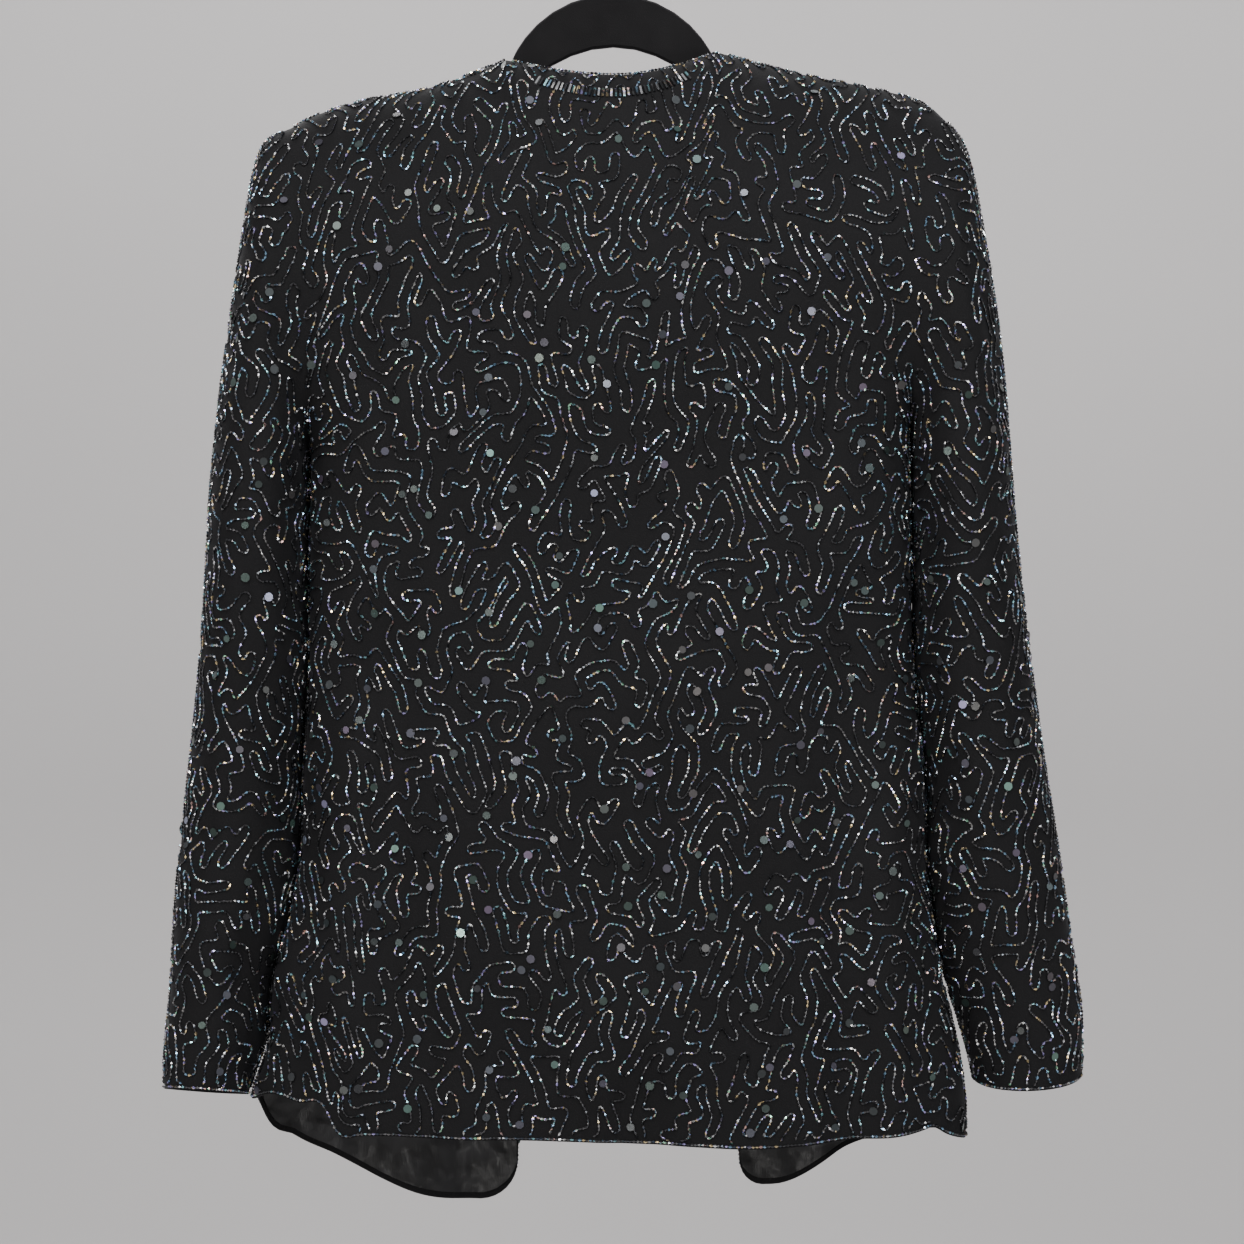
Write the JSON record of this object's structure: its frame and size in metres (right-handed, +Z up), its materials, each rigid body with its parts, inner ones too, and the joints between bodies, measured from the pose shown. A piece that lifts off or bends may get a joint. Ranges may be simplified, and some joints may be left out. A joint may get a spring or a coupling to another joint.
{
  "type": "evening jacket on a hanger",
  "caption": "Collarless black evening jacket with bead and sequin embroidery and a satin lining, hung open on a flat velvet hanger with a wire hook.",
  "frame": {"origin": "inner top of the hanger's hook, where a rail carries it", "axes": "+Z up, +Y out of the jacket's back, +X towards the wearer's left"},
  "size_m": [0.5981, 0.1276, 0.8485],
  "materials": {
    "beaded_cloth": "matte",
    "glass_beads": "gloss",
    "satin_lining": "satin",
    "velvet": "matte",
    "steel": "polished"
  },
  "bodies": {
    "root": {"back": "beaded_cloth", "back_lining": "satin_lining", "front_left": "beaded_cloth", "front_left_lining": "satin_lining", "front_right": "beaded_cloth", "front_right_lining": "satin_lining", "sleeve_left": "beaded_cloth", "sleeve_left_lining": "satin_lining", "sleeve_right": "beaded_cloth", "sleeve_right_lining": "satin_lining", "hanger": "velvet", "hanger_hook": "steel"}
  },
  "joints": []
}
